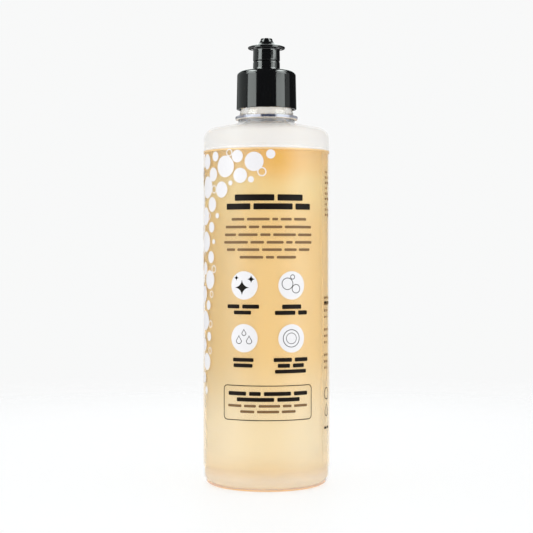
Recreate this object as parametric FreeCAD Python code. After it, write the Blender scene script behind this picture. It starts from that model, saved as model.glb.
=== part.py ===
# Round squeeze bottle of dish soap with a screw cap and a push-pull spout.
# Millimetres, +Z up, origin at the middle of the ring that the bottle stands on.
# The front of the label faces -Y. Every round piece is turned about the Z axis.
import FreeCAD
import Part
import math
import os

# Bottle body
body_diameter = 62.16
body_height = 178.1  # from the standing ring up to where the shoulder meets the neck
body_wall = 0.55
base_thickness = 1.0
base_corner = 4.6
standing_ring_width = 2.4
punt_height = 3.2  # rise of the domed base
shoulder_slope = 11.0  # degrees below level
shoulder_corner = 5.4
throat_round = 1.2

# Bottle neck, a 24 mm finish with one and a half turns of thread
thread_diameter = 23.9
thread_depth = 1.08
thread_pitch = 3.175
thread_turns = 1.5
thread_below_mouth = 2.3  # from the mouth down to the middle of the first turn
ridge_root_width = 2.0
ridge_crest_width = 0.9
run_out = 20.0  # degrees over which the end of a thread dies away
neck_wall = 1.52
finish_height = 20.8  # from the support ring up to the mouth
land_height = 3.6  # thick stretch above the support ring
land_taper = 0.75
neck_bulge = 2.0  # neck at the support ring, beyond the thread
ring_overhang = 1.5
ring_thickness = 1.85
ring_bevel = 0.46
neck_below_ring = 1.8
edge_round = 0.4

# Label and soap
label_film = 0.16
label_gap = 0.06
label_below_corner = 6.1  # plain wall between the label and the shoulder's bend
label_bottom = 9.1
lap_start = -31.0  # degrees, seen from above, from +X
lap_angle = 15.0
soap_below_label = 0.7
soap_gap = 0.1

# Screw cap
seal_thickness = 1.0
seal_gap = 0.25
seal_hole_margin = 1.0
cap_thread_gap = 0.3
cap_thread_start = -90.0  # degrees round from the start of the neck's thread
skirt_wall = 1.0
skirt_gap = 0.45  # between the smooth skirt and the threaded sleeve inside it
inner_sleeve_wall = 0.9
cap_flare = 0.35  # the skirt is this much wider at its foot
cap_above_ring = 3.4
cap_corner = 2.8
deck_thickness = 1.4
deck_fall = 0.55
inner_sleeve_rise = 2.8  # from the foot of the skirt up to the foot of the threaded sleeve
collar_height = 4.0
foot_round = 0.3

# Push-pull valve
passage_diameter = 8.2
chimney_wall = 1.3
snap_height = 0.85
snap_depth = 0.35
slide_gap = 0.05
sleeve_wall = 0.95
seam_gap = 0.06
sleeve_bead_height = 0.95
spout_stroke = 4.6
ceiling_gap = 0.3
web_thickness = 0.9
web_height = 3.0
web_count = 3
orifice_diameter = 3.2
pin_gap = 0.05
pin_below_tip = 0.5
pin_round = 0.5
orifice_length = 2.95

# Outside of the spout
nose_height = 4.4  # from the ceiling of the sleeve to the tip
tip_wall = 1.35
tip_height = 1.45
tip_flare = 0.7
nose_tuck = 0.2
brim_overhang = 2.5
brim_edge = 0.55
brim_below_ceiling = 0.8
notch_count = 6
notch_radius = 0.5

# Radii that follow
body_radius = body_diameter / 2
thread_radius = thread_diameter / 2
neck_root = thread_radius - thread_depth
neck_bore = neck_root - neck_wall
neck_radius = thread_radius + neck_bulge
ring_radius = neck_radius + ring_overhang
cap_bore = thread_radius + cap_thread_gap
cap_crest = neck_root + cap_thread_gap
inner_sleeve_radius = cap_bore + inner_sleeve_wall
skirt_bore = inner_sleeve_radius + skirt_gap
cap_radius = skirt_bore + skirt_wall
passage_radius = passage_diameter / 2
chimney_radius = passage_radius + chimney_wall
snap_radius = chimney_radius + snap_depth
sleeve_bore = snap_radius + slide_gap
sleeve_bead = chimney_radius + slide_gap
column_radius = sleeve_bore + sleeve_wall
orifice_radius = orifice_diameter / 2
pin_radius = orifice_radius - pin_gap
tip_radius = orifice_radius + tip_wall
brim_radius = column_radius + brim_overhang

# Heights that follow
shoulder_edge = body_height - math.tan(math.radians(shoulder_slope)) * (body_radius - neck_radius)
bend_height = shoulder_corner * math.tan(math.radians(90 - shoulder_slope) / 2)
label_top = shoulder_edge - bend_height - label_below_corner
soap_level = label_top - soap_below_label
ring_bottom = body_height + neck_below_ring
ring_top = ring_bottom + ring_thickness
mouth = ring_top + finish_height
thread_foot = mouth - thread_below_mouth - thread_pitch * thread_turns
deck_bottom = mouth + seal_thickness
deck_top = deck_bottom + deck_thickness
cap_foot = ring_top + cap_above_ring
collar_top = deck_top + collar_height
spout_foot = collar_top + seam_gap
sleeve_bead_top = spout_foot + sleeve_bead_height
snap_foot = sleeve_bead_top + spout_stroke + snap_depth
chimney_top = snap_foot + snap_height
ceiling = chimney_top + ceiling_gap
tip = ceiling + nose_height
brim_under = ceiling - brim_below_ceiling

axis_point = FreeCAD.Vector(0, 0, 0)
up = FreeCAD.Vector(0, 0, 1)
bevel = "bevel"


def at(radius, height):
    return FreeCAD.Vector(radius, 0, height)


def polar(radius, degrees, height):
    turn = math.radians(degrees)
    return FreeCAD.Vector(radius * math.cos(turn), radius * math.sin(turn), height)


def line(start, end):
    return Part.LineSegment(start, end).toShape()


def outline(corners):
    """Edges through (radius, height) corners. A corner may name a rounding, or a size and a bevel."""
    edges = []
    last = at(*corners[0][:2])
    for before, corner, after in zip(corners, corners[1:], corners[2:]):
        here = at(*corner[:2])
        if len(corner) == 2:
            edges.append(line(last, here))
            last = here
            continue
        back = (at(*before[:2]) - here).normalize()
        ahead = (at(*after[:2]) - here).normalize()
        half = back.getAngle(ahead) / 2
        size = corner[2]
        bevelled = corner[3:] == (bevel,)
        setback = size if bevelled else size / math.tan(half)
        begin = here + back * setback
        finish = here + ahead * setback
        middle = here + (back + ahead).normalize() * (size / math.sin(half) - size)
        edges.append(line(last, begin))
        edges.append(line(begin, finish) if bevelled else Part.Arc(begin, middle, finish).toShape())
        last = finish
    edges.append(line(last, at(*corners[-1][:2])))
    return edges


def turned(edges, degrees=360):
    """The closed outline of the edges, turned about the Z axis."""
    face = Part.Face(Part.Wire(edges))
    return face.revolve(axis_point, up, degrees)


def ring(inner, outer, bottom, top):
    corners = [(inner, bottom), (outer, bottom), (outer, top), (inner, top), (inner, bottom)]
    return turned(outline(corners))


def dome(radius, rise, height):
    """An arc from the axis, raised by the rise, down to the radius at the height."""
    sphere = (radius ** 2 + rise ** 2) / (2 * rise)
    quarter = math.asin(radius / sphere) / 2
    middle_height = height + rise - sphere * (1 - math.cos(quarter))
    middle = at(sphere * math.sin(quarter), middle_height)
    return Part.Arc(at(0, height + rise), middle, at(radius, height)).toShape()


def thread_ridge(root, crest, turns):
    """A ridge that climbs to the left from angle 0 and height 0, with both of its ends dying away."""
    sink = math.copysign(edge_round, crest - root)
    half_root = ridge_root_width / 2
    half_crest = ridge_crest_width / 2
    section = Part.makePolygon([
        at(root - sink, -half_root),
        at(crest, -half_crest),
        at(crest, half_crest),
        at(root - sink, half_root),
        at(root - sink, -half_root),
    ])
    helix = Part.makeHelix(thread_pitch, thread_pitch * turns, root)
    ridge = Part.Wire(helix.Edges).makePipeShell([section], True, True)
    start = ridge_end(root, crest, 0, 0, 1)
    finish = ridge_end(root, crest, 360 * turns, thread_pitch * turns, -1)
    return ridge.cut(start).cut(finish)


def ridge_end(root, crest, degrees, height, side):
    """The block that is cut from a ridge's end, with a face that slants from its root to its crest."""
    beyond = crest + (crest - root)
    behind = degrees - side * run_out
    within = degrees + side * run_out
    foot = height - thread_pitch / 2
    plan = [(root, behind), (root, degrees), (crest, within), (beyond, within), (beyond, behind)]
    points = [polar(radius, angle, foot) for radius, angle in plan]
    base = Part.Face(Part.makePolygon(points + points[:1]))
    return base.extrude(up * thread_pitch)


def cavity(inset):
    """The inside of the bottle, made smaller by the inset on every side."""
    wall_radius = body_radius - body_wall - inset
    floor = base_thickness + inset
    dome_radius = body_radius - base_corner - standing_ring_width
    ceiling_rise = math.tan(math.radians(shoulder_slope))
    throat = neck_radius - neck_wall
    throat_height = body_height - body_wall
    edge_height = throat_height - ceiling_rise * (wall_radius - throat)
    inner_bend = shoulder_corner - body_wall
    corners = [
        (dome_radius, floor),
        (wall_radius, floor, base_corner - body_wall),
        (wall_radius, edge_height - inset, inner_bend),
        (throat, throat_height - inset, throat_round),
        (neck_bore, ring_bottom, throat_round),
        (neck_bore, mouth + base_thickness),
        (0, mouth + base_thickness),
        (0, floor + punt_height),
    ]
    return turned([dome(dome_radius, punt_height, floor)] + outline(corners))


def make_bottle():
    """One blown piece: domed base, thin wall, shoulder, support ring and threaded neck."""
    dome_radius = body_radius - base_corner - standing_ring_width
    corners = [
        (dome_radius, 0),
        (body_radius, 0, base_corner),
        (body_radius, shoulder_edge, shoulder_corner),
        (neck_radius, body_height, edge_round),
        (neck_radius, ring_bottom),
        (ring_radius, ring_bottom, ring_bevel, bevel),
        (ring_radius, ring_top, ring_bevel, bevel),
        (neck_radius - edge_round, ring_top, edge_round),
        (neck_radius - land_taper - edge_round, ring_top + land_height, edge_round),
        (neck_root, ring_top + land_height + 2 * thread_depth, thread_depth),
        (neck_root, mouth, edge_round, bevel),
        (0, mouth),
        (0, punt_height),
    ]
    outside = turned([dome(dome_radius, punt_height, 0)] + outline(corners))
    ridge = thread_ridge(neck_root, thread_radius, thread_turns)
    ridge.translate(at(0, thread_foot))
    return outside.fuse(ridge).cut(cavity(0))


def make_dish_soap():
    """The liquid, up to its level."""
    inside = cavity(soap_gap)
    below = Part.makeCylinder(body_radius, soap_level)
    return inside.common(below)


def make_label():
    """One wrap of film, whose outer end laps over its start."""
    inner = body_radius + label_gap
    outer = inner + label_film
    wrap = ring(inner, outer, label_bottom, label_top)
    corners = [
        (outer, label_bottom),
        (outer + label_film, label_bottom),
        (outer + label_film, label_top),
        (outer, label_top),
        (outer, label_bottom),
    ]
    lap = turned(outline(corners), lap_angle)
    lap.rotate(axis_point, up, lap_start)
    return wrap.fuse(lap).removeSplitter()


def make_seal_washer():
    """The foam washer that the cap presses on the mouth of the bottle."""
    return ring(passage_radius + seal_hole_margin, cap_bore - seal_gap, mouth, deck_bottom)


def cap_shell():
    """Skirt, deck, collar and chimney, as one turned outline."""
    inner_foot = cap_foot + inner_sleeve_rise
    corners = [
        (skirt_bore, cap_foot),
        (cap_radius + cap_flare, cap_foot, foot_round, bevel),
        (cap_radius, deck_top - deck_fall, cap_corner),
        (column_radius, deck_top, edge_round),
        (column_radius, collar_top, foot_round, bevel),
        (chimney_radius, collar_top),
        (chimney_radius, snap_foot - snap_depth),
        (snap_radius, snap_foot),
        (snap_radius, chimney_top, foot_round, bevel),
        (passage_radius, chimney_top),
        (passage_radius, deck_bottom),
        (cap_bore, deck_bottom),
        (cap_bore, inner_foot, edge_round, bevel),
        (inner_sleeve_radius, inner_foot),
        (inner_sleeve_radius, deck_bottom - deck_fall),
        (skirt_bore, deck_bottom - deck_fall - cap_corner / 2),
        (skirt_bore, cap_foot),
    ]
    return turned(outline(corners))


def sealing_pin():
    """The pin that plugs the orifice while the spout is down."""
    foot = chimney_top - snap_height - web_height
    top = tip - pin_below_tip
    corners = [(0, foot), (pin_radius, foot), (pin_radius, top, pin_round), (0, top), (0, foot)]
    return turned(outline(corners))


def web(angle):
    """One web that carries the pin from the wall of the chimney."""
    foot = chimney_top - snap_height - web_height
    corner = FreeCAD.Vector(pin_radius / 2, -web_thickness / 2, foot)
    length = passage_radius + chimney_wall / 2 - pin_radius / 2
    block = Part.makeBox(length, web_thickness, web_height, corner)
    block.rotate(axis_point, up, angle)
    return block


def make_screw_cap():
    """One moulded piece: the shell, its inside thread, the webs and the sealing pin."""
    ridge = thread_ridge(cap_bore, cap_crest, thread_turns)
    ridge.rotate(axis_point, up, cap_thread_start)
    ridge.translate(at(0, thread_foot + thread_pitch * (cap_thread_start / 360 - 1 / 2)))
    webs = [web(index * 360 / web_count) for index in range(web_count)]
    return cap_shell().fuse([ridge, sealing_pin()] + webs)


def nose_curve():
    """The hollow curve from the brim's edge up to the foot of the tip."""
    low = at(brim_radius, brim_under + brim_edge + foot_round)
    high = at(tip_radius + tip_flare, tip - tip_height)
    rise = high.z - low.z
    reach = low.x - high.x
    poles = [
        low,
        at(high.x + reach / 2, low.z + rise / 2),
        at(high.x + nose_tuck, low.z + rise / 2),
        high,
    ]
    curve = Part.BezierCurve()
    curve.setPoles(poles)
    return curve.toShape()


def make_pull_spout():
    """One moulded piece: sleeve with its bead, brim, nose and notched tip."""
    bead_slope = sleeve_bore - sleeve_bead
    outside = [
        (sleeve_bead, spout_foot),
        (column_radius, spout_foot, foot_round, bevel),
        (column_radius, brim_under, foot_round),
        (brim_radius, brim_under, foot_round, bevel),
        (brim_radius, brim_under + brim_edge + foot_round),
    ]
    inside = [
        (tip_radius + tip_flare, tip - tip_height),
        (tip_radius, tip, foot_round),
        (orifice_radius, tip, foot_round),
        (orifice_radius, tip - orifice_length),
        (sleeve_bore, ceiling),
        (sleeve_bore, sleeve_bead_top + bead_slope),
        (sleeve_bead, sleeve_bead_top),
        (sleeve_bead, spout_foot),
    ]
    spout = turned(outline(outside) + [nose_curve()] + outline(inside))
    return spout.cut([notch(index * 360 / notch_count) for index in range(notch_count)])


def notch(angle):
    """One round notch across the rim of the tip."""
    start = polar(orifice_radius - notch_radius, angle, tip)
    direction = polar(1, angle, 0)
    return Part.makeCylinder(notch_radius, tip_wall + tip_flare + 2 * notch_radius, start, direction)


pieces = {
    "bottle": make_bottle,
    "dish_soap": make_dish_soap,
    "label": make_label,
    "seal_washer": make_seal_washer,
    "screw_cap": make_screw_cap,
    "pull_spout": make_pull_spout,
}

os.makedirs("parts", exist_ok=True)
for name, make in pieces.items():
    shape = make()
    shape.exportStep(f"parts/{name}.step")
    print(f"{name}: {shape.Volume / 1000:.3f} cm3, {len(shape.Solids)} solid, valid {shape.isValid()}")
print(f"height {tip:.2f}, label {label_bottom:.1f} to {label_top:.1f}, cap foot {cap_foot:.1f}")
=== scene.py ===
import math
import bmesh
import bpy
from mathutils import Matrix, Vector
from mathutils.geometry import interpolate_bezier


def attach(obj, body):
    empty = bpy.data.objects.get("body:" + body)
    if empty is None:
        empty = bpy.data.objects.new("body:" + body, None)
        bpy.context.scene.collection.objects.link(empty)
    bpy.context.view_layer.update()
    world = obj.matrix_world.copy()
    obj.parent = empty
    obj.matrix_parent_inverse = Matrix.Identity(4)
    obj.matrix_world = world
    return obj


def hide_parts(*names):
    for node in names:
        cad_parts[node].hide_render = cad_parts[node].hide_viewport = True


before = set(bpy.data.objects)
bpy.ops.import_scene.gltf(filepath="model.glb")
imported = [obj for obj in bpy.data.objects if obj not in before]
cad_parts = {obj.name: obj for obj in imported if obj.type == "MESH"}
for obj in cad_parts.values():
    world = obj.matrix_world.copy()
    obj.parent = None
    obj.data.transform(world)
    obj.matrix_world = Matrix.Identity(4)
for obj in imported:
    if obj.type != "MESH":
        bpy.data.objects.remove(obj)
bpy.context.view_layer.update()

# Shapes are drawn in millimetres and become metres as each piece is finished.
meshing = dict(steps=160, fineSteps=192, washerSteps=96, pinSteps=48, ridgeSteps=72, merge=0.0005,
               shortStretch=0.6, supportGap=0.12, sharpAngle=32)
print("frame loaded")


# Mesh helpers

def withSupports(corners, closed):
    # A point just outside each rounding keeps the straight stretch beside it shaded straight.
    following = corners[1:] + corners[:1] if closed else corners[1:]
    points = []
    for corner, after in zip(corners, following):
        points.append(corner)
        start = corner[2] if len(corner) > 2 else 0
        end = after[2] if len(after) > 2 else 0
        length = math.dist(corner[:2], after[:2])
        if length - start - end > meshing["shortStretch"]:
            gap = meshing["supportGap"]
            for needed, share in ((start, (start + gap) / length), (end, 1 - (end + gap) / length)):
                if needed:
                    points.append(tuple(low + (high - low) * share for low, high in zip(corner[:2], after[:2])))
    return points if closed else points + [corners[-1]]


def wire(bm, corners, closed):
    # A line through (radius, height) corners; a third value rounds a corner by that setback.
    corners = withSupports(corners, closed)
    vertices = [bm.verts.new((corner[0], 0, corner[1])) for corner in corners]
    for start, end in zip(vertices, vertices[1:] + vertices[:1] if closed else vertices[1:]):
        bm.edges.new((start, end))
    for vertex, corner in zip(vertices, corners):
        if len(corner) > 2:
            segments = 2 if corner[2] < 0.35 else 5 if corner[2] < 1.5 else 12
            bmesh.ops.bevel(bm, geom=[vertex], offset=corner[2], offset_type="OFFSET", segments=segments,
                            profile=0.5, affect="VERTICES", material=-1)


def turned(corners, steps, closed=True):
    # The whole line is turned about the Z axis into a closed skin.
    bm = bmesh.new()
    wire(bm, corners, closed)
    bmesh.ops.spin(bm, geom=bm.verts[:] + bm.edges[:], axis=(0, 0, 1), cent=(0, 0, 0),
                   angle=math.tau, steps=steps, use_merge=True)
    bmesh.ops.remove_doubles(bm, verts=bm.verts, dist=meshing["merge"])
    return bm


def swept(bm, section, startAngle, sweep, steps, climb=0.0):
    # A closed section is swept round the Z axis. Returns its first and last points, and its ends are still open.
    first = [bm.verts.new((radius, 0, height)) for radius, height in section]
    bmesh.ops.rotate(bm, verts=first, cent=(0, 0, 0), matrix=Matrix.Rotation(math.radians(startAngle), 3, "Z"))
    edges = [bm.edges.new(pair) for pair in zip(first, first[1:] + first[:1])]
    made = bmesh.ops.spin(bm, geom=first + edges, axis=(0, 0, 1), cent=(0, 0, 0), angle=math.radians(sweep),
                          steps=steps, dvec=(0, 0, climb / steps))
    return first, [part for part in made["geom_last"] if isinstance(part, bmesh.types.BMVert)]


def addRidge(bm, root, crest, foot, startAngle, thread):
    # A screw thread's ridge: its section climbs as it is turned, and both ends sink into the wall.
    half, tipHalf = thread["rootWidth"] / 2, thread["crestWidth"] / 2
    section = [(root, foot - half), (crest, foot - tipHalf), (crest, foot + tipHalf), (root, foot + half)]
    first, last = swept(bm, section, startAngle, 360 * thread["turns"], int(meshing["ridgeSteps"] * thread["turns"]),
                        thread["pitch"] * thread["turns"])
    for end in (first, last):
        for vertex in end:
            flat = Vector((vertex.co.x, vertex.co.y))
            if abs(flat.length - crest) < abs(flat.length - root):
                flat *= root / flat.length
                vertex.co.x, vertex.co.y = flat
    bmesh.ops.contextual_create(bm, geom=first)
    bmesh.ops.contextual_create(bm, geom=last)


def finished(name, bm, body, materials, replaced=()):
    # The mesh becomes an object that rides on its body and stands for the nodes in replaced.
    bmesh.ops.scale(bm, vec=(0.001, 0.001, 0.001), verts=bm.verts)
    bmesh.ops.recalc_face_normals(bm, faces=bm.faces)
    mesh = bpy.data.meshes.new(name)
    bm.to_mesh(mesh)
    bm.free()
    mesh.shade_smooth()
    mesh.set_sharp_from_angle(angle=math.radians(meshing["sharpAngle"]))
    for material in materials:
        mesh.materials.append(material)
    piece = bpy.data.objects.new(name, mesh)
    bpy.context.scene.collection.objects.link(piece)
    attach(piece, body)
    if replaced:
        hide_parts(*replaced)
    print("made", name, len(mesh.polygons), "faces")
    return piece


# Material helpers

def addNode(tree, kind, values=None, **settings):
    node = tree.nodes.new(kind)
    for key, value in settings.items():
        setattr(node, key, value)
    for socket, value in (values or {}).items():
        node.inputs[socket].default_value = value
    return node


def ramp(tree, factor, stops, easing="EASE"):
    # Stops are (position, colour), or (position, value) for a grey.
    node = addNode(tree, "ShaderNodeValToRGB")
    node.color_ramp.interpolation = easing
    while len(node.color_ramp.elements) < len(stops):
        node.color_ramp.elements.new(1)
    for element, (position, colour) in zip(node.color_ramp.elements, stops):
        element.position = position
        element.color = (*colour, 1) if isinstance(colour, tuple) else (colour, colour, colour, 1)
    tree.links.new(factor, node.inputs["Fac"])
    return node.outputs["Color"]


def newMaterial(name):
    # Returns the material, its node tree, its shader and the place on the piece.
    material = bpy.data.materials.new(name)
    material.use_nodes = True
    tree = material.node_tree
    return material, tree, tree.nodes["Principled BSDF"], addNode(tree, "ShaderNodeTexCoord").outputs["Object"]


def makeGrainGroup():
    # Fine moulded grain: a value between Low and High, and a height for a bump.
    tree = bpy.data.node_groups.new("surfaceGrain", "ShaderNodeTree")
    tree.interface.new_socket("Vector", in_out="INPUT", socket_type="NodeSocketVector")
    for name in ("Scale", "Cloud Scale", "Low", "High"):
        tree.interface.new_socket(name, in_out="INPUT", socket_type="NodeSocketFloat")
    for name in ("Value", "Height"):
        tree.interface.new_socket(name, in_out="OUTPUT", socket_type="NodeSocketFloat")
    inlet = addNode(tree, "NodeGroupInput")
    outlet = addNode(tree, "NodeGroupOutput")
    cloud = addNode(tree, "ShaderNodeTexNoise", {"Detail": 3, "Roughness": 0.55})
    grain = addNode(tree, "ShaderNodeTexNoise", {"Detail": 4, "Roughness": 0.65})
    spread = addNode(tree, "ShaderNodeMapRange", {"From Min": 0.3, "From Max": 0.7})
    tree.links.new(inlet.outputs["Vector"], cloud.inputs["Vector"])
    tree.links.new(inlet.outputs["Vector"], grain.inputs["Vector"])
    tree.links.new(inlet.outputs["Cloud Scale"], cloud.inputs["Scale"])
    tree.links.new(inlet.outputs["Scale"], grain.inputs["Scale"])
    tree.links.new(cloud.outputs["Fac"], spread.inputs["Value"])
    tree.links.new(inlet.outputs["Low"], spread.inputs["To Min"])
    tree.links.new(inlet.outputs["High"], spread.inputs["To Max"])
    tree.links.new(spread.outputs["Result"], outlet.inputs["Value"])
    tree.links.new(grain.outputs["Fac"], outlet.inputs["Height"])
    return tree


grainGroup = makeGrainGroup()


def addGrain(tree, shader, place, look):
    # The grain drives Roughness between the look's two values, and lifts the surface a little. Returns its height.
    grain = addNode(tree, "ShaderNodeGroup", node_tree=grainGroup)
    for socket, value in zip(("Scale", "Cloud Scale", "Low", "High"), look["grain"] + look["roughness"]):
        grain.inputs[socket].default_value = value
    strength, distance = look["bump"]
    tree.links.new(place, grain.inputs["Vector"])
    tree.links.new(grain.outputs["Value"], shader.inputs["Roughness"])
    bump = addNode(tree, "ShaderNodeBump", {"Strength": strength, "Distance": distance})
    tree.links.new(grain.outputs["Height"], bump.inputs["Height"])
    tree.links.new(bump.outputs["Normal"], shader.inputs["Normal"])
    return grain.outputs["Height"]


def axesOf(tree, place):
    parts = addNode(tree, "ShaderNodeSeparateXYZ")
    tree.links.new(place, parts.inputs["Vector"])
    return parts.outputs


def between(tree, value, span, low=0.0, high=1.0, easing="LINEAR"):
    # The value's span is stretched to low and high.
    limits = {"From Min": span[0], "From Max": span[1], "To Min": low, "To Max": high}
    node = addNode(tree, "ShaderNodeMapRange", limits, interpolation_type=easing)
    tree.links.new(value, node.inputs["Value"])
    return node.outputs["Result"]


def joined(tree, operation, first, second, clamp=False):
    node = addNode(tree, "ShaderNodeMath", operation=operation, use_clamp=clamp)
    for socket, value in zip(node.inputs, (first, second)):
        tree.links.new(value, socket)
    return node.outputs["Value"]


def mixed(tree, factor, first, second, blend="MIX"):
    # Colours are mixed; each of the three is a socket or a fixed value.
    node = addNode(tree, "ShaderNodeMix", data_type="RGBA", blend_type=blend)
    for index, value in ((0, factor), (6, first), (7, second)):
        if isinstance(value, bpy.types.NodeSocket):
            tree.links.new(value, node.inputs[index])
        else:
            node.inputs[index].default_value = value if index == 0 else (*value, 1)
    return node.outputs[2]


# Finishes: grain is its fine and its cloudy scale, bump its strength and height, roughness its lowest and highest

# The soap's tones up its height, its darker and lighter sides and its golden light near the top are painted light and
# shade.
soapLook = dict(top=(0.94, 0.67, 0.27), upper=(0.985, 0.75, 0.33), pale=(1.0, 0.87, 0.46), middle=(1.0, 0.785, 0.365),
                low=(1.0, 0.96, 0.80), lowest=(1.0, 0.96, 0.81), foot=(1.0, 0.86, 0.61), height=(0.0, 0.165),
                width=(-0.031, 0.031), paintedGlow=(0.96, 0.53, 0.0), paintedGlowAt=(0.006, -0.031, 0.1597), paintedGlowSize=0.0195,
                transmission=0.75, index=1.35, absorbed=(0.985, 0.80, 0.42), density=13.0,
                grain=(260, 30), roughness=(0.37, 0.47), bump=(0.02, 0.0004))
filmLook = dict(colour=(1.0, 0.86, 0.64), alpha=0.055, lapColour=(0.90, 0.74, 0.50), lapAlpha=0.10,
                tint=(0.90, 0.62, 0.29), topTint=0.75, topAt=(0.16325, 0.16345), edgeTint=0.5, edgeFacing=(0.74, 0.92),
                edgeFade=(0.066, 0.052), edgeLeast=0.12, footAlpha=0.005, footFade=(0.0095, 0.018),
                sheen=0.30, sheenRoughness=0.3, grain=(900, 60), roughness=(0.30, 0.42), bump=(0.05, 0.0002))
# The rim tone is painted light that comes through the soap at the very bottom; the neck's foot tone is painted shade
# under the support ring.
frostLook = dict(colour=(0.925, 0.93, 0.925), rim=(0.98, 0.58, 0.20), paintedNeckShade=(0.40, 0.43, 0.47),
                 line=(1.0, 1.0, 1.0), rimHaze=0.75, bare=0.20, wetted=0.02, lineHaze=0.35, paintedNeckShadeHaze=0.40,
                 height=(0.0, 0.2), grain=(1400, 45), roughness=(0.34, 0.46), bump=(0.10, 0.0002))
clearLook = dict(colour=(0.985, 0.97, 0.94), transmission=0.88, index=1.47, specular=0.25,
                 grain=(500, 120), roughness=(0.08, 0.14), bump=(0.02, 0.0002))
# The ring's front, side and end tones are a painted reflection of the dark room in the clear ring.
ringLook = dict(front=(0.025, 0.035, 0.085), side=(0.66, 0.72, 0.88), end=(0.27, 0.29, 0.36), pale=(1.0, 0.98, 0.93),
                width=(-0.0155, 0.0155), rimHeight=(0.1798, 0.1819), transmission=0.35, index=1.47,
                grain=(500, 120), roughness=(0.20, 0.28), bump=(0.02, 0.0002))
blackLook = dict(colour=(0.0042, 0.0045, 0.0052), index=1.49, polish=0.65, polishHeight=(0.2, 0.22),
                 polishRoughness=0.08, grain=(700, 90), roughness=(0.06, 0.12), bump=(0.03, 0.0001))
foamLook = dict(colour=(0.90, 0.89, 0.87), pore=(0.72, 0.71, 0.69),
                grain=(2600, 300), roughness=(0.75, 0.9), bump=(0.5, 0.0002))
inkLook = dict(dark=dict(colour=(0.012, 0.008, 0.006), shade=(0.007, 0.005, 0.004), gloss=0.06, roughness=(0.4, 0.55)),
               brown=dict(colour=(0.22, 0.13, 0.062), shade=(0.17, 0.10, 0.048), gloss=0.1, roughness=(0.4, 0.55)),
               white=dict(colour=(0.825, 0.815, 0.835), shade=(0.785, 0.775, 0.795), gloss=0.2, roughness=(0.35, 0.5)))
for look in inkLook.values():
    look.update(grain=(1800, 400), bump=(0.05, 0.0001))


def makeSoap(look):
    material, tree, shader, place = newMaterial("dishSoap")
    addGrain(tree, shader, place, look)
    axes = axesOf(tree, place)
    height = between(tree, axes["Z"], look["height"])
    across = between(tree, axes["X"], look["width"])
    # The tones up its height hold painted light: paler low down, where the floor's light comes through, and near the
    # top.
    colours = ramp(tree, height, [
        (0.04, look["foot"]), (0.08, look["lowest"]), (0.16, look["low"]), (0.42, look["middle"]),
        (0.76, look["middle"]), (0.895, look["pale"]), (0.95, look["upper"]), (1.0, look["top"])])
    # Painted shade darkens one side, less so low down, and painted golden light stands near the top at the front.
    side = ramp(tree, across, [
        (0.0, (0.80, 0.82, 0.84)), (0.2, (0.80, 0.815, 0.83)), (0.37, (0.94, 0.93, 0.91)), (0.5, (1, 0.98, 0.91)),
        (0.82, (1, 1, 1.05)), (1.0, (0.96, 1, 1.12))])
    paintedLowTones = ramp(tree, across, [(0.1, 1), (0.5, (1, 0.97, 0.88)), (0.9, 1)])
    sides = mixed(tree, ramp(tree, height, [(0.16, 0), (0.36, 1)]), paintedLowTones, side)
    shaded = mixed(tree, 1, colours, sides, "MULTIPLY")
    away = addNode(tree, "ShaderNodeVectorMath", {1: look["paintedGlowAt"]}, operation="DISTANCE")
    tree.links.new(place, away.inputs[0])
    paintedGlow = between(tree, away.outputs["Value"], (look["paintedGlowSize"], 0.0), easing="SMOOTHSTEP")
    tree.links.new(mixed(tree, paintedGlow, shaded, look["paintedGlow"]), shader.inputs["Base Color"])
    shader.inputs["Transmission Weight"].default_value = look["transmission"]
    shader.inputs["IOR"].default_value = look["index"]
    absorption = addNode(tree, "ShaderNodeVolumeAbsorption", {"Color": (*look["absorbed"], 1),
                                                             "Density": look["density"]})
    tree.links.new(absorption.outputs["Volume"], tree.nodes["Material Output"].inputs["Volume"])
    return material


def makeFilm(name, look, colour, alpha):
    # Clear film: its amber tint shows along its top edge, and low down it is denser where it is seen edge on.
    material, tree, shader, place = newMaterial(name)
    addGrain(tree, shader, place, look)
    height = axesOf(tree, place)["Z"]
    facing = addNode(tree, "ShaderNodeLayerWeight", {"Blend": 0.5})
    edge = between(tree, facing.outputs["Facing"], look["edgeFacing"], 0.0, look["edgeTint"])
    lowEdge = joined(tree, "MULTIPLY", edge, between(tree, height, look["edgeFade"], look["edgeLeast"], 1.0))
    top = between(tree, height, look["topAt"], 0.0, look["topTint"])
    body = between(tree, height, look["footFade"], look["footAlpha"], alpha)
    tree.links.new(joined(tree, "ADD", joined(tree, "MAXIMUM", top, lowEdge), body), shader.inputs["Alpha"])
    tinted = between(tree, top, (0.0, 1 / 3))
    tree.links.new(mixed(tree, tinted, colour, look["tint"]), shader.inputs["Base Color"])
    shader.inputs["Sheen Weight"].default_value = look["sheen"]
    shader.inputs["Sheen Roughness"].default_value = look["sheenRoughness"]
    return material


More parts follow.
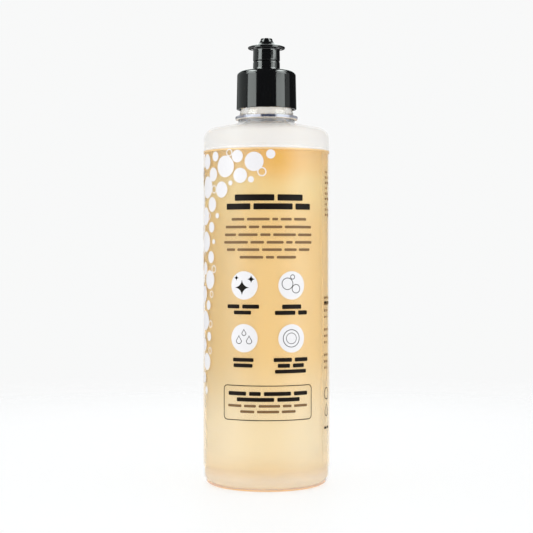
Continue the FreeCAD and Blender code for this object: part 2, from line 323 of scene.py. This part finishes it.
def makeFrosted(look):
    # Frosted where it is bare, and nearly clear where the label's glue wets it. A thin amber line of painted light
    # through the soap shows at the very bottom and a white one over the label, and the neck's foot is painted shade,
    # greyer.
    material, tree, shader, place = newMaterial("frostedPet")
    addGrain(tree, shader, place, look)
    height = between(tree, axesOf(tree, place)["Z"], look["height"])
    stops = [(0.0, "rimHaze", "rim"), (0.0045, "rimHaze", "rim"), (0.0075, "bare", "colour"), (0.030, "bare", "colour"),
             (0.056, "wetted", "colour"), (0.8205, "wetted", "colour"), (0.8212, "lineHaze", "line"),
             (0.8245, "lineHaze", "line"), (0.829, "bare", "colour"), (0.885, "bare", "colour"),
             (0.893, "paintedNeckShadeHaze", "paintedNeckShade")]
    haze = ramp(tree, height, [(position, look[key]) for position, key, _ in stops], "LINEAR")
    tones = ramp(tree, height, [(position, look[key]) for position, _, key in stops], "LINEAR")
    tree.links.new(haze, shader.inputs["Alpha"])
    tree.links.new(tones, shader.inputs["Base Color"])
    return material


def makeClear(look):
    material, tree, shader, place = newMaterial("clearPet")
    addGrain(tree, shader, place, look)
    shader.inputs["Base Color"].default_value = (*look["colour"], 1)
    shader.inputs["Transmission Weight"].default_value = look["transmission"]
    shader.inputs["IOR"].default_value = look["index"]
    shader.inputs["Specular IOR Level"].default_value = look["specular"]
    return material


def makeRing(look):
    # The ring's rim has a painted reflection: dark blue at the front, pale beside that and grey at its sides;
    # above and below it is cream.
    material, tree, shader, place = newMaterial("ringPet")
    addGrain(tree, shader, place, look)
    shader.inputs["Transmission Weight"].default_value = look["transmission"]
    shader.inputs["IOR"].default_value = look["index"]
    axes = axesOf(tree, place)
    tones = ramp(tree, between(tree, axes["X"], look["width"]), [
        (0.152, look["end"]), (0.19, look["side"]), (0.394, look["side"]), (0.423, look["front"]),
        (0.626, look["front"]), (0.671, look["side"]), (0.845, look["side"]), (0.874, look["end"])], "LINEAR")
    rim = ramp(tree, between(tree, axes["Z"], look["rimHeight"]), [(0.19, 0), (0.27, 1), (0.80, 1), (0.90, 0)],
               "LINEAR")
    tree.links.new(mixed(tree, rim, look["pale"], tones), shader.inputs["Base Color"])
    return material


def makeBlack(look):
    # The deck, the column and the brim are more polished than the skirt below and the nose above them.
    material, tree, shader, place = newMaterial("blackPlastic")
    addGrain(tree, shader, place, look)
    shader.inputs["Base Color"].default_value = (*look["colour"], 1)
    shader.inputs["IOR"].default_value = look["index"]
    height = between(tree, axesOf(tree, place)["Z"], look["polishHeight"])
    coat = ramp(tree, height, [(0.13, 0), (0.155, look["polish"]), (0.775, look["polish"]), (0.80, 0)], "LINEAR")
    tree.links.new(coat, shader.inputs["Coat Weight"])
    shader.inputs["Coat Roughness"].default_value = look["polishRoughness"]
    return material


def makeFoam(look):
    material, tree, shader, place = newMaterial("whiteFoam")
    pores = addGrain(tree, shader, place, look)
    tree.links.new(ramp(tree, pores, [(0.3, look["pore"]), (0.62, look["colour"])]), shader.inputs["Base Color"])
    return material


def makeInk(name, look):
    # Printed ink: a little uneven in tone, as ink on film is.
    material, tree, shader, place = newMaterial(name)
    shader.inputs["Specular IOR Level"].default_value = look["gloss"]
    grain = addGrain(tree, shader, place, look)
    tree.links.new(ramp(tree, grain, [(0.3, look["shade"]), (0.65, look["colour"])]), shader.inputs["Base Color"])
    return material


soapMaterial = makeSoap(soapLook)
filmMaterial = makeFilm("labelFilm", filmLook, filmLook["colour"], filmLook["alpha"])
lapMaterial = makeFilm("labelLap", filmLook, filmLook["lapColour"], filmLook["lapAlpha"])
frostedMaterial = makeFrosted(frostLook)
clearMaterial = makeClear(clearLook)
ringMaterial = makeRing(ringLook)
blackMaterial = makeBlack(blackLook)
foamMaterial = makeFoam(foamLook)
darkInk = makeInk("darkInk", inkLook["dark"])
brownInk = makeInk("brownInk", inkLook["brown"])
whiteInk = makeInk("whiteInk", inkLook["white"])
print("finishes made")


# Bottle: domed base, thin wall, shoulder, support ring and neck

thread = dict(pitch=3.175, turns=1.5, rootWidth=2.0, crestWidth=0.9, sunk=0.2, neckCrest=11.95, capCrest=11.17,
              underMouth=2.3, capLower=0.75)
bottle = dict(radius=31.08, height=178.1, wall=0.55, floor=1.0, punt=3.2, domeRadius=24.08, corner=4.6,
              shoulderEdge=174.77, shoulderBend=4.45, shoulderSlope=11, throat=12.43, neck=13.95, ringBottom=179.9,
              ringTop=181.75, ring=15.45, landFoot=13.55, land=12.80, landTop=185.35, root=10.87, rootFoot=187.51,
              bore=9.35, mouth=202.55, clearAbove=179.8)


def domeLine(shape, foot):
    # The domed base from its middle out to the ring that the bottle stands on.
    half, crown = shape["domeRadius"] / 2, foot + shape["punt"]
    return [(0, crown), (half, crown, half * 0.97), (shape["domeRadius"], foot, 0.4)]


def makeBottle(shape):
    inside = shape["radius"] - shape["wall"]
    innerTop = shape["height"] - shape["wall"]
    innerEdge = innerTop - math.tan(math.radians(shape["shoulderSlope"])) * (inside - shape["throat"])
    corners = domeLine(shape, 0) + [
        (shape["radius"], 0, shape["corner"]),
        (shape["radius"], shape["shoulderEdge"], shape["shoulderBend"]),
        (shape["neck"], shape["height"], 0.35),
        (shape["neck"], shape["ringBottom"], 0.2),
        (shape["ring"], shape["ringBottom"], 0.5),
        (shape["ring"], shape["ringTop"], 0.5),
        (shape["landFoot"], shape["ringTop"], 0.3),
        (shape["land"], shape["landTop"], 0.4),
        (shape["root"], shape["rootFoot"], 0.9),
        (shape["root"], shape["mouth"], 0.4),
        (shape["bore"], shape["mouth"], 0.25),
        (shape["bore"], shape["ringBottom"], 0.9),
        (shape["throat"], innerTop, 0.9),
        (inside, innerEdge, shape["shoulderBend"] - 0.4),
        (inside, shape["floor"], shape["corner"] - shape["wall"]),
    ] + domeLine(shape, shape["floor"])[::-1]
    bm = turned(corners, meshing["steps"], closed=False)
    foot = shape["mouth"] - thread["underMouth"] - thread["pitch"] * thread["turns"]
    addRidge(bm, shape["root"] - thread["sunk"], thread["neckCrest"], foot, 0, thread)
    for face in bm.faces:
        up = face.calc_center_median().z
        face.material_index = 0 if up < shape["clearAbove"] else 2 if up < shape["ringTop"] - 0.1 else 1
    return finished("bottleWall", bm, "bottle", [frostedMaterial, clearMaterial, ringMaterial],
                    ["bottle"])


makeBottle(bottle)


# The soap fills the bottle to just under the label's top edge

soap = dict(radius=30.43, floor=1.1, level=163.52, domeRadius=24.08, punt=3.2, corner=4.05, meniscus=0.5,
            meniscusWidth=1.2)


def makeSoapBody(shape):
    surface = shape["level"] - shape["meniscus"]
    bm = turned(domeLine(shape, shape["floor"]) + [
        (shape["radius"], shape["floor"], shape["corner"]),
        (shape["radius"], shape["level"]),
        (shape["radius"] - shape["meniscusWidth"], surface, 0.9),
        (0, surface),
    ], meshing["steps"], closed=False)
    return finished("soapBody", bm, "bottle", [soapMaterial], ["dish_soap"])


makeSoapBody(soap)


# Label film with its lap

label = dict(inner=31.14, outer=31.255, bottom=9.1, top=164.22, lapStart=-31, lapAngle=15, lapSteps=10, lapGap=0.004,
             lapFilm=0.12)


def filmSection(shape, low, high):
    return [(low, shape["bottom"]), (high, shape["bottom"]), (high, shape["top"]), (low, shape["top"])]


def makeLabel(shape):
    bm = turned(filmSection(shape, shape["inner"], shape["outer"]), meshing["fineSteps"])
    wrap = set(bm.faces)
    lap = filmSection(shape, shape["outer"] + shape["lapGap"], shape["outer"] + shape["lapFilm"])
    for end in swept(bm, lap, shape["lapStart"], shape["lapAngle"], shape["lapSteps"]):
        bmesh.ops.contextual_create(bm, geom=end)
    for face in bm.faces:
        face.material_index = 0 if face in wrap else 1
    return finished("labelFilm", bm, "bottle", [filmMaterial, lapMaterial], ["label"])


makeLabel(label)


# Print: flat shapes laid out as across and up from the front, then cut into strips and wrapped round

ink = dict(thickness=0.012, base=31.268, whiteBase=31.256, sideBase=31.378, wrapRadius=31.3, discRadius=6.75)


def flatPlace(across, up):
    return Matrix.Translation((across, 0, up)) @ Matrix.Rotation(math.radians(90), 4, "X")


def addDisc(bm, across, up, radius, segments=56):
    return bmesh.ops.create_circle(bm, cap_ends=True, radius=radius, segments=segments,
                                   matrix=flatPlace(across, up))["verts"]


def hollow(bm, vertices, width):
    # Only a border of the given width is left of the faces.
    faces = list({face for vertex in vertices for face in vertex.link_faces})
    bmesh.ops.inset_region(bm, faces=faces, thickness=width, use_even_offset=True, use_boundary=True)
    bmesh.ops.delete(bm, geom=faces, context="FACES_ONLY")


def addRing(bm, across, up, radius, width):
    hollow(bm, addDisc(bm, across, up, radius), width)


def addBar(bm, left, right, low, high, rounding, width=None):
    # A rounded bar, or with a width its outline.
    size = Matrix.Diagonal((right - left, high - low, 1, 1))
    middle = flatPlace((left + right) / 2, (low + high) / 2)
    vertices = bmesh.ops.create_grid(bm, x_segments=1, y_segments=1, size=0.5, matrix=middle @ size)["verts"]
    rounding = min(rounding, 0.45 * min(right - left, high - low))
    made = bmesh.ops.bevel(bm, geom=vertices, offset=rounding, offset_type="OFFSET", segments=4, profile=0.5,
                           affect="VERTICES", material=-1)
    if width:
        hollow(bm, made["verts"], width)


def addStar(bm, across, up, radius, sharpness=0.62):
    for vertex in addDisc(bm, across, up, radius, 40):
        x, z = abs(vertex.co.x - across) / radius, abs(vertex.co.z - up) / radius
        reach = (x ** sharpness + z ** sharpness) ** (-1 / sharpness)
        vertex.co.x = across + (vertex.co.x - across) * reach
        vertex.co.z = up + (vertex.co.z - up) * reach


def dropLine(bm, across, up, radius):
    vertices = bmesh.ops.create_circle(bm, radius=radius, segments=40, matrix=flatPlace(across, up))["verts"]
    for vertex in vertices:
        rise = max(0, (vertex.co.z - up) / radius)
        vertex.co.x = across + (vertex.co.x - across) * (1 - 0.9 * rise ** 1.6)
        vertex.co.z = up + (vertex.co.z - up) * (1 + 0.85 * rise)
    return list({edge for vertex in vertices for edge in vertex.link_edges})


def addDrop(bm, across, up, radius, width):
    lines = dropLine(bm, across, up, radius) + dropLine(bm, across, up, radius - width)
    bmesh.ops.bridge_loops(bm, edges=lines)


def addWords(bm, line, gap, rounding):
    # A row of word bars shares out the line's span.
    (start, end), (low, high), words = line["span"], line["row"], line["words"]
    room = end - start - gap * (len(words) - 1)
    for word in words:
        length = room * word / sum(words)
        addBar(bm, start, start + length, low, high, rounding)
        start += length + gap


def printed(name, bm, base, material):
    # Strips one millimetre wide follow the label's curve; solidify gives the ink its body.
    reach = int(max(abs(vertex.co.x) for vertex in bm.verts)) + 1
    for across in range(-reach, reach + 1):
        bmesh.ops.bisect_plane(bm, geom=bm.verts[:] + bm.edges[:] + bm.faces[:], dist=0.00001,
                               plane_co=(across, 0, 0), plane_no=(1, 0, 0))
    bmesh.ops.recalc_face_normals(bm, faces=bm.faces)
    bmesh.ops.solidify(bm, geom=bm.faces[:], thickness=ink["thickness"])
    deepest = max(vertex.co.y for vertex in bm.verts)
    for vertex in bm.verts:
        angle = vertex.co.x / ink["wrapRadius"]
        out = base + deepest - vertex.co.y
        vertex.co.x, vertex.co.y = out * math.sin(angle), -out * math.cos(angle)
    return finished(name, bm, "bottle", [material])


# Word rows: from and to upwards, from and to across, and how the words share the span.
wordStyle = dict(headingGap=1.5, headingRounding=0.45, lineGap=1.3, lineRounding=0.4, sideGap=0.9, noteGap=0.8,
                 sideRounding=0.35)
headings = [
    dict(row=(138.9, 141.9), span=(-15.8, 18.3), words=(9, 6)),
    dict(row=(134.7, 137.6), span=(-20.5, 22.8), words=(6, 9, 4)),
    dict(row=(87.6, 89.5), span=(-20.0, -3.5), words=(4, 5)),
    dict(row=(84.8, 86.6), span=(-16.3, -7.4), words=(5,)),
    dict(row=(87.4, 89.5), span=(7.5, 17.5), words=(5,)),
    dict(row=(84.6, 86.6), span=(4.0, 20.9), words=(6, 3)),
    dict(row=(62.3, 64.1), span=(-16.8, -6.2), words=(5,)),
    dict(row=(59.6, 61.4), span=(-16.5, -6.7), words=(5,)),
    dict(row=(62.3, 64.2), span=(3.4, 21.2), words=(5, 4)),
    dict(row=(59.5, 61.4), span=(5.4, 19.0), words=(4, 4)),
    dict(row=(56.8, 58.6), span=(4.0, 20.3), words=(7,)),
    dict(row=(46.2, 48.1), span=(-19.3, 21.0), words=(5, 3, 7, 4)),
    dict(row=(43.4, 45.3), span=(-14.7, 16.6), words=(8, 5)),
]
paragraphs = [
    dict(row=(129.48, 130.72), span=(-17.6, 20.4), words=(5, 8, 2, 4, 5)),
    dict(row=(125.78, 127.02), span=(-21.1, 23.5), words=(7, 3, 6, 9)),
    dict(row=(122.08, 123.32), span=(-21.6, 23.8), words=(4, 6, 3, 7, 5)),
    dict(row=(118.48, 119.72), span=(-22.0, 23.8), words=(8, 4, 5, 2, 6)),
    dict(row=(114.98, 116.22), span=(-20.4, 22.5), words=(3, 7, 6, 4, 4)),
    dict(row=(111.38, 112.62), span=(-13.2, 14.6), words=(6, 2, 5)),
    dict(row=(40.68, 41.92), span=(-19.6, 20.9), words=(5, 4, 7, 3, 5)),
    dict(row=(37.98, 39.22), span=(-12.9, 14.4), words=(4, 6, 4)),
]
sideLines = [dict(row=(132 + step * 2.6, 133.2 + step * 2.6), span=(35.5, 40.6 - step % 3), words=(3, 4))
             for step in range(9)]
sideNotes = [dict(row=(91.6 - step * 3.1, 92.8 - step * 3.1), span=(34.6, 41.0 - step % 4 * 0.7), words=(4, 3, 2))
             for step in range(12) if step not in (4, 8)]
sideHeading = dict(row=(88.9, 90.4), span=(34.6, 41.2), words=(5, 3))
sideFoot = dict(row=(28.2, 29.4), span=(34.8, 40.8), words=(4, 3))
noticeBox = dict(left=-22.3, right=23.9, low=34.3, high=51.1, rounding=2.0, width=0.42)

# Icons, bubbles and rings: across, up, radius, and the line's width where they are hollow.
icons = dict(stars=[(-12.0, 97.6, 3.6), (-7.4, 101.6, 1.9), (-14.9, 102.2, 1.3)],
             loops=[(10.2, 99.4, 2.9, 0.32), (14.6, 97.0, 2.2, 0.32), (12.8, 102.6, 1.2, 0.32),
                    (12.2, 73.4, 4.3, 0.32), (12.2, 73.4, 2.7, 0.26)],
             drops=[(-13.6, 72.2, 1.5, 0.3), (-8.4, 72.2, 1.5, 0.3), (-11.0, 75.8, 1.2, 0.3)],
             sideLoop=(37.6, 45.5, 3.0, 0.5), sideDrop=(37.6, 36.6, 2.3, 0.45))
discs = [(-10.97, 98.6), (12.4, 98.6), (-10.97, 73.5), (12.4, 73.4)]
bubbles = [
    (-6.0, 157.5, 4.6), (2.0, 161.0, 2.2), (-14.5, 160.2, 3.0), (-13.0, 151.0, 3.6), (-21.5, 155.5, 5.2),
    (-28.5, 160.6, 2.4), (-30.5, 152.0, 3.4), (-24.0, 144.5, 3.9), (-36.5, 146.0, 5.4), (-37.0, 158.5, 3.8),
    (-31.5, 137.5, 3.6), (-39.0, 132.0, 4.4), (-32.0, 126.5, 2.6), (-38.5, 119.5, 5.0), (-32.6, 112.0, 2.9),
    (-40.0, 106.5, 3.2), (-34.0, 101.0, 4.6), (-41.5, 94.0, 4.0), (-35.4, 88.6, 2.4), (-39.6, 81.0, 4.8),
    (-34.6, 73.4, 2.2), (-41.0, 69.0, 3.0), (-37.4, 61.0, 4.2), (-41.5, 53.0, 2.6), (-38.0, 47.0, 1.9),
    (-7.5, 149.0, 1.5), (-18.3, 147.5, 1.2), (-27.0, 132.0, 1.3), (-30.0, 119.5, 1.2), (-47.5, 140.0, 5.5),
    (-49.0, 124.0, 3.6), (-50.5, 110.0, 4.8), (-48.0, 86.0, 3.2), (-55.0, 96.0, 3.6), (-58.0, 132.0, 4.4),
    (-54.0, 152.0, 4.8), (-62.5, 148.0, 2.4), (-60.0, 115.0, 2.2), (-66.0, 158.0, 3.4), (-70.0, 140.0, 2.0),
]
rings = [
    (-2.2, 152.6, 2.2, 0.55), (-19.0, 162.0, 1.8, 0.5), (-29.6, 144.8, 2.0, 0.5), (-44.5, 152.5, 2.6, 0.6),
    (-34.8, 132.0, 1.9, 0.5), (-44.5, 126.5, 2.4, 0.6), (-29.9, 106.2, 1.9, 0.5), (-45.5, 100.5, 2.6, 0.6),
    (-32.0, 94.0, 1.7, 0.5), (-46.0, 76.0, 2.3, 0.6), (-33.0, 79.5, 1.8, 0.5), (-33.5, 66.5, 1.7, 0.5),
]


def makePrint(style):
    dark = bmesh.new()
    for line in headings:
        addWords(dark, line, style["headingGap"], style["headingRounding"])
    addBar(dark, **noticeBox)
    for star in icons["stars"]:
        addStar(dark, *star)
    for loop in icons["loops"]:
        addRing(dark, *loop)
    for drop in icons["drops"]:
        addDrop(dark, *drop)
    printed("labelDarkPrint", dark, ink["base"], darkInk)

    brown = bmesh.new()
    for line in paragraphs:
        addWords(brown, line, style["lineGap"], style["lineRounding"])
    printed("labelTextPrint", brown, ink["base"], brownInk)

    small = bmesh.new()
    for line in sideLines:
        addWords(small, line, style["sideGap"], style["sideRounding"])
    for line in sideNotes:
        addWords(small, line, style["noteGap"], style["sideRounding"])
    printed("sideTextPrint", small, ink["sideBase"], brownInk)

    side = bmesh.new()
    addWords(side, sideHeading, style["sideGap"], style["lineRounding"])
    addRing(side, *icons["sideLoop"])
    addDrop(side, *icons["sideDrop"])
    addWords(side, sideFoot, style["noteGap"], style["sideRounding"])
    printed("sideDarkPrint", side, ink["sideBase"], darkInk)

    white = bmesh.new()
    for across, up in discs:
        addDisc(white, across, up, ink["discRadius"], 72)
    for bubble in bubbles:
        addDisc(white, *bubble)
    for ring in rings:
        addRing(white, *ring)
    printed("labelWhitePrint", white, ink["whiteBase"], whiteInk)


makePrint(wordStyle)


# Seal washer

washer = dict(bore=5.1, radius=12.0, foot=202.55, top=203.55, rounding=0.1)


def makeWasher(shape):
    corners = [(radius, height, shape["rounding"]) for radius, height in (
        (shape["bore"], shape["foot"]), (shape["radius"], shape["foot"]), (shape["radius"], shape["top"]),
        (shape["bore"], shape["top"]))]
    bm = turned(corners, meshing["washerSteps"])
    return finished("foamWasher", bm, "seal", [foamMaterial], ["seal_washer"])


makeWasher(washer)


# Screw cap: skirt, deck, collar and chimney, with the thread, webs and pin

cap = dict(skirtBore=13.6, radius=14.6, flare=0.35, foot=185.15, deckTop=204.95, deckFall=1.1, corner=2.1,
           column=6.75, draft=0.085, collarTop=208.95, chimney=5.4, snapFoot=214.91, snapSlope=0.35, snap=5.75,
           chimneyTop=215.76, passage=4.1, deckBottom=203.55, bore=12.25, sleeve=13.15, sleeveFoot=187.95,
           sleeveTop=203.0, skirtTop=201.6, pin=1.55, pinTop=219.96, pinFoot=211.91)
webs = dict(count=3, out=2.75, up=213.41, size=(3.9, 0.9, 3.0))


def makeCap(shape):
    corners = [
        (shape["skirtBore"], shape["foot"], 0.12),
        (shape["radius"] + shape["flare"], shape["foot"], 0.3),
        (shape["radius"], shape["deckTop"] - shape["deckFall"], shape["corner"]),
        (shape["column"], shape["deckTop"], 0.6),
        (shape["column"] - shape["draft"], shape["collarTop"], 0.55),
        (shape["chimney"], shape["collarTop"], 0.1),
        (shape["chimney"], shape["snapFoot"] - shape["snapSlope"], 0.1),
        (shape["snap"], shape["snapFoot"], 0.1),
        (shape["snap"], shape["chimneyTop"], 0.3),
        (shape["passage"], shape["chimneyTop"], 0.2),
        (shape["passage"], shape["deckBottom"], 0.1),
        (shape["bore"], shape["deckBottom"], 0.1),
        (shape["bore"], shape["sleeveFoot"], 0.3),
        (shape["sleeve"], shape["sleeveFoot"], 0.2),
        (shape["sleeve"], shape["sleeveTop"], 0.1),
        (shape["skirtBore"], shape["skirtTop"], 0.1),
    ]
    bm = turned(corners, meshing["fineSteps"])
    foot = bottle["mouth"] - thread["underMouth"] - thread["pitch"] * (thread["turns"] + thread["capLower"])
    addRidge(bm, shape["bore"] + thread["sunk"], thread["capCrest"], foot, -90, thread)
    pin = turned([(0, shape["pinFoot"]), (shape["pin"], shape["pinFoot"], 0.1), (shape["pin"], shape["pinTop"], 0.5),
                  (0, shape["pinTop"])], meshing["pinSteps"], closed=False)
    pinMesh = bpy.data.meshes.new("pin")
    pin.to_mesh(pinMesh)
    pin.free()
    bm.from_mesh(pinMesh)
    bpy.data.meshes.remove(pinMesh)
    for index in range(webs["count"]):
        spread = Matrix.Rotation(math.tau * index / webs["count"], 4, "Z") \
            @ Matrix.Translation((webs["out"], 0, webs["up"])) @ Matrix.Diagonal((*webs["size"], 1))
        bmesh.ops.create_cube(bm, size=1, matrix=spread)
    return finished("capShell", bm, "cap", [blackMaterial], ["screw_cap"])


makeCap(cap)


# Pull spout: sleeve, brim, hollow-curved nose and notched tip

spout = dict(bead=5.45, foot=209.01, column=6.75, draft=0.13, brimUnder=215.26, brim=9.25, brimTop=216.11,
             noseCurve=[(7.8, 217.2), (3.6, 216.9)], noseTop=(2.92, 220.08), noseSteps=24, tip=220.46, tipRadius=2.87,
             rimInset=0.32, rimSteps=6, rimDepth=0.4, orifice=1.6, orificeFoot=217.51, ceiling=216.06, bore=5.8,
             beadTop=209.96, beadSlope=0.35, notches=6, notchRadius=0.5)


def cutNotch(vertex, shape):
    # A point of the rim sinks to the floor of the round notch that it lies in.
    reach = math.hypot(vertex.co.x, vertex.co.y)
    if vertex.co.z > shape["tip"] - shape["rimDepth"] and reach > shape["orifice"] - 0.01:
        pace = math.tau / shape["notches"]
        angle = (math.atan2(vertex.co.y, vertex.co.x) + pace / 2) % pace - pace / 2
        aside = reach * math.sin(angle)
        if abs(aside) < shape["notchRadius"]:
            floor = shape["tip"] - math.sqrt(shape["notchRadius"] ** 2 - aside ** 2)
            vertex.co.z = min(vertex.co.z, floor)


def makeSpout(shape):
    bends = [(shape["brim"], shape["brimTop"]), *shape["noseCurve"], shape["noseTop"]]
    nose = interpolate_bezier(*[Vector((radius, 0, height)) for radius, height in bends], shape["noseSteps"])
    inset, steps = shape["rimInset"], shape["rimSteps"]
    room = shape["tipRadius"] - shape["orifice"] - 2 * inset
    rim = [(shape["tipRadius"] - inset - room * step / steps, shape["tip"]) for step in range(1, steps)]
    corners = [
        (shape["bead"], shape["foot"], 0.1),
        (shape["column"], shape["foot"], 0.6),
        (shape["column"] - shape["draft"], shape["brimUnder"], 1.0),
        (shape["brim"], shape["brimUnder"], 0.34),
        (shape["brim"], shape["brimTop"], 0.12),
        *[(point.x, point.z) for point in nose[1:]],
        (shape["tipRadius"], shape["tip"], 0.25),
        *rim,
        (shape["orifice"], shape["tip"], 0.3),
        (shape["orifice"], shape["orificeFoot"], 0.2),
        (shape["bore"], shape["ceiling"], 0.2),
        (shape["bore"], shape["beadTop"] + shape["beadSlope"], 0.1),
        (shape["bead"], shape["beadTop"], 0.1),
    ]
    bm = turned(corners, meshing["fineSteps"])
    for vertex in bm.verts:
        cutNotch(vertex, shape)
    return finished("spoutShell", bm, "spout", [blackMaterial], ["pull_spout"])


makeSpout(spout)
print("pieces made")


# Floor, sky and lights

studio = dict(backdrop=0.945, fill=1.16, dim=0.03, behind=1.1, behindFrom=(0.92, 0.98), below=0.08,
              horizon=(-0.13, -0.05), skyColour=(0.995, 1.0, 0.999), floorRadius=1.2, floorDrop=0.0001,
              floorFade=(0.25, 0.6), floor=0.27, floorRoughness=0.6, floorGloss=0.2, floorGlow=0.71,
              glowColour=(0.94, 0.95, 0.96), panelColour=(0.93, 1.0, 0.975))


def makeFloor():
    bm = bmesh.new()
    bmesh.ops.create_circle(bm, cap_ends=True, radius=studio["floorRadius"], segments=96)
    mesh = bpy.data.meshes.new("studioFloor")
    bm.to_mesh(mesh)
    bm.free()
    floor = bpy.data.objects.new("studioFloor", mesh)
    bpy.context.scene.collection.objects.link(floor)
    floor.location.z = -studio["floorDrop"]
    material, tree, shader, place = newMaterial("paleFloor")
    length = addNode(tree, "ShaderNodeVectorMath", operation="LENGTH")
    tree.links.new(place, length.inputs[0])
    fade = between(tree, length.outputs["Value"], studio["floorFade"], 1.0, 0.0, "SMOOTHSTEP")
    tree.links.new(fade, shader.inputs["Alpha"])
    shader.inputs["Base Color"].default_value = (studio["floor"],) * 3 + (1,)
    shader.inputs["Roughness"].default_value = studio["floorRoughness"]
    shader.inputs["Specular IOR Level"].default_value = studio["floorGloss"]
    shader.inputs["Emission Color"].default_value = (*studio["glowColour"], 1)
    shader.inputs["Emission Strength"].default_value = studio["floorGlow"]
    mesh.materials.append(material)


def makeSky():
    # The backdrop is near white, the light from all round is soft, and gloss sees a dark room with a bright end.
    world = bpy.data.worlds.new("studio")
    bpy.context.scene.world = world
    world.use_nodes = True
    tree = world.node_tree
    tree.nodes.clear()
    path = addNode(tree, "ShaderNodeLightPath").outputs
    axes = axesOf(tree, addNode(tree, "ShaderNodeTexCoord").outputs["Generated"])
    behind = between(tree, axes["Y"], studio["behindFrom"], studio["dim"], studio["behind"], "SMOOTHSTEP")
    above = between(tree, axes["Z"], studio["horizon"], studio["below"], 1.0, "SMOOTHSTEP")
    room = joined(tree, "MULTIPLY", behind, above)
    gloss = joined(tree, "SUBTRACT", path["Is Glossy Ray"], path["Is Transmission Ray"], clamp=True)
    fill = addNode(tree, "ShaderNodeMix", {"A": studio["backdrop"], "B": studio["fill"]}, data_type="FLOAT")
    tree.links.new(path["Is Diffuse Ray"], fill.inputs["Factor"])
    strength = addNode(tree, "ShaderNodeMix", data_type="FLOAT")
    tree.links.new(gloss, strength.inputs["Factor"])
    tree.links.new(fill.outputs["Result"], strength.inputs["A"])
    tree.links.new(room, strength.inputs["B"])
    sky = addNode(tree, "ShaderNodeBackground", {"Color": (*studio["skyColour"], 1)})
    tree.links.new(strength.outputs["Result"], sky.inputs["Strength"])
    outlet = addNode(tree, "ShaderNodeOutputWorld")
    tree.links.new(sky.outputs["Background"], outlet.inputs["Surface"])


# Panels that only gloss sees: angle round from the front, lowest and highest point, width, distance and brightness.
softboxes = dict(
    stripeLeft=dict(round=-58.5, span=(-0.5, 0.385), width=0.669, away=1.0, radiance=4.8),
    stripeRight=dict(round=56.15, span=(-0.5, 0.385), width=0.664, away=1.0, radiance=4.8),
    columnLeft=dict(round=-56.8, span=(0.385, 0.47), width=0.52, away=1.0, radiance=4.8),
    columnRight=dict(round=72.5, span=(0.385, 0.47), width=0.443, away=1.0, radiance=4.8),
    highLeft=dict(round=-66, span=(0.47, 1.2), width=0.78, away=1.0, radiance=6.5),
    highRight=dict(round=63, span=(0.47, 1.2), width=0.78, away=1.0, radiance=6.5),
    behindHigh=dict(round=180, span=(0.45, 1.2), width=0.8, away=1.0, radiance=1.3),
    topLeft=dict(round=-92, span=(0.72, 1.35), width=0.5, away=0.5, radiance=9.0),
    topRight=dict(round=92, span=(0.72, 1.35), width=0.5, away=0.5, radiance=9.0),
    sideLeft=dict(round=-115, span=(-0.5, 0.9), width=1.3, away=1.0, radiance=0.45),
    sideRight=dict(round=89, span=(-0.5, 0.9), width=0.38, away=1.0, radiance=0.6),
)


def makeSoftbox(name, panel):
    light = bpy.data.lights.new(name, "AREA")
    light.shape = "RECTANGLE"
    low, high = panel["span"]
    light.size, light.size_y = panel["width"], high - low
    light.energy = panel["radiance"] * math.pi * panel["width"] * (high - low)
    light.color = studio["panelColour"]
    softbox = bpy.data.objects.new(name, light)
    bpy.context.scene.collection.objects.link(softbox)
    angle = math.radians(panel["round"])
    softbox.location = (panel["away"] * math.sin(angle), -panel["away"] * math.cos(angle), (low + high) / 2)
    softbox.rotation_euler = (math.radians(90), 0, angle)
    softbox.visible_diffuse = False
    softbox.visible_transmission = False
    softbox.visible_camera = False


photoView = dict(away=0.67275, height=0.1152, lens=91.4, sensor=36, shift=-0.030, nearest=0.01)


def makeCamera(view):
    camera = bpy.data.objects.new("camera", bpy.data.cameras.new("camera"))
    bpy.context.scene.collection.objects.link(camera)
    camera.location = (0, -view["away"], view["height"])
    camera.rotation_euler = (math.radians(90), 0, 0)
    camera.data.lens = view["lens"]
    camera.data.sensor_width = view["sensor"]
    camera.data.shift_y = view["shift"]
    camera.data.clip_start = view["nearest"]
    bpy.context.scene.camera = camera


makeFloor()
makeSky()
for name, panel in softboxes.items():
    makeSoftbox(name, panel)
makeCamera(photoView)
bpy.context.scene.view_settings.view_transform = "Standard"
bpy.context.scene.cycles.transparent_max_bounces = 32
print("studio made")
